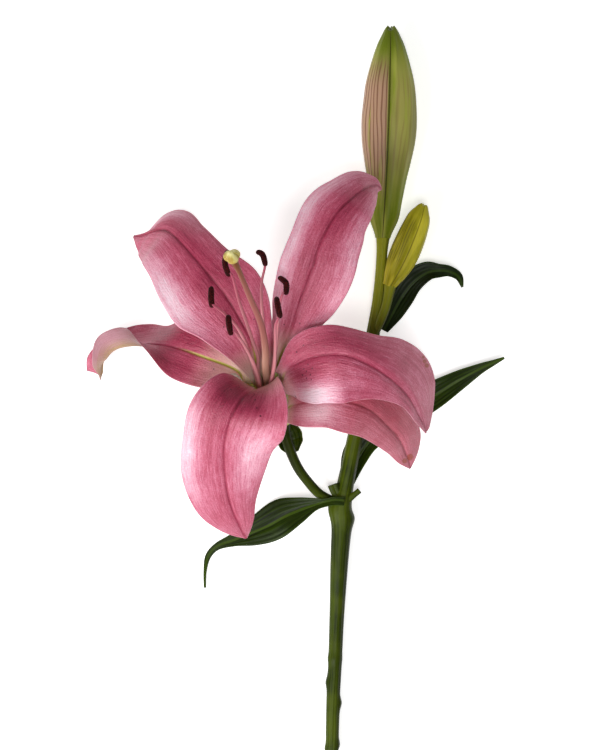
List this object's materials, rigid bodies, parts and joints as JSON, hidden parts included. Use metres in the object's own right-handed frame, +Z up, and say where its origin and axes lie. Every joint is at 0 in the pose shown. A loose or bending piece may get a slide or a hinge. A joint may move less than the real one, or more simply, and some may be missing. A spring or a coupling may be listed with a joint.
{
  "type": "cut lily stem",
  "caption": "Cut stem of pink lily lying down, with one open bloom, a large closed bud, a small yellow-green bud and four dark green leaves.",
  "frame": {"origin": "middle of the bounding box, on the surface that the stem lies on", "axes": "+Y along the stem towards the buds, +X across it towards the right-hand leaf, +Z up, the way the bloom looks"},
  "size_m": [0.2067, 0.3582, 0.1018],
  "materials": {
    "tepal_pink": "satin petal",
    "stem_green": "smooth, slightly waxy",
    "leaf_green": "glossy leaf",
    "bud_blush": "satin, closed petals",
    "bud_yellow": "satin, closed petals",
    "filament_pink": "smooth",
    "anther_maroon": "matt pollen",
    "stigma_green": "moist, slightly glossy",
    "ovary_green": "smooth"
  },
  "bodies": {
    "root": {"tepal_upper_left": "tepal_pink", "tepal_right": "tepal_pink", "tepal_lower": "tepal_pink", "tepal_upper_right": "tepal_pink", "tepal_left": "tepal_pink", "tepal_lower_right": "tepal_pink", "stem": "stem_green", "big_bud": "bud_blush", "small_bud": "bud_yellow", "ovary": "ovary_green", "style": "filament_pink", "stigma": "stigma_green", "filament_1": "filament_pink", "anther_1": "anther_maroon", "filament_2": "filament_pink", "anther_2": "anther_maroon", "filament_3": "filament_pink", "anther_3": "anther_maroon", "filament_4": "filament_pink", "anther_4": "anther_maroon", "filament_5": "filament_pink", "anther_5": "anther_maroon", "filament_6": "filament_pink", "anther_6": "anther_maroon", "leaf_low": "leaf_green", "leaf_right": "leaf_green", "leaf_upper": "leaf_green", "bract": "leaf_green"}
  },
  "joints": []
}
